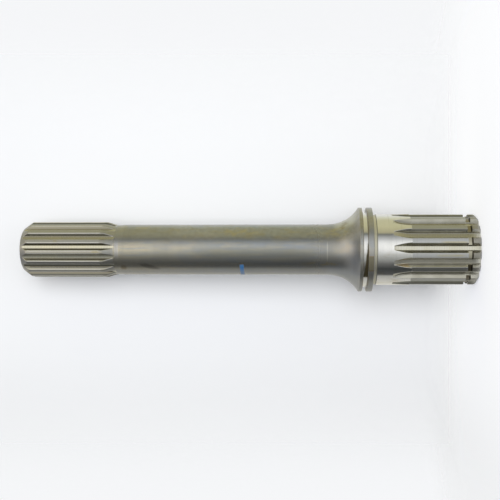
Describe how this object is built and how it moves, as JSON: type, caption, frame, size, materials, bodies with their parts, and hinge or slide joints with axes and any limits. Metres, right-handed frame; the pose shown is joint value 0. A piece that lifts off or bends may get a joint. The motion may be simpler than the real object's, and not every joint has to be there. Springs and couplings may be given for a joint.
{
  "type": "turbine shaft",
  "caption": "Turned steel turbine shaft with a small splined end, plain shank, flared collar with a seal ring groove, ground bearing journal and large splined end with a snap ring groove.",
  "frame": {"origin": "centre of the large end face, on the shaft's axis, at the level of the surface it stands on", "axes": "+Z along the shaft's axis from the large spline to the small spline; X and Y are set by the tooth spaces"},
  "size_m": [0.0772, 0.0772, 0.416],
  "materials": {
    "machined_steel": "satin turned steel with a ground journal"
  },
  "bodies": {
    "root": {"turbine_shaft": "machined_steel"}
  },
  "joints": []
}
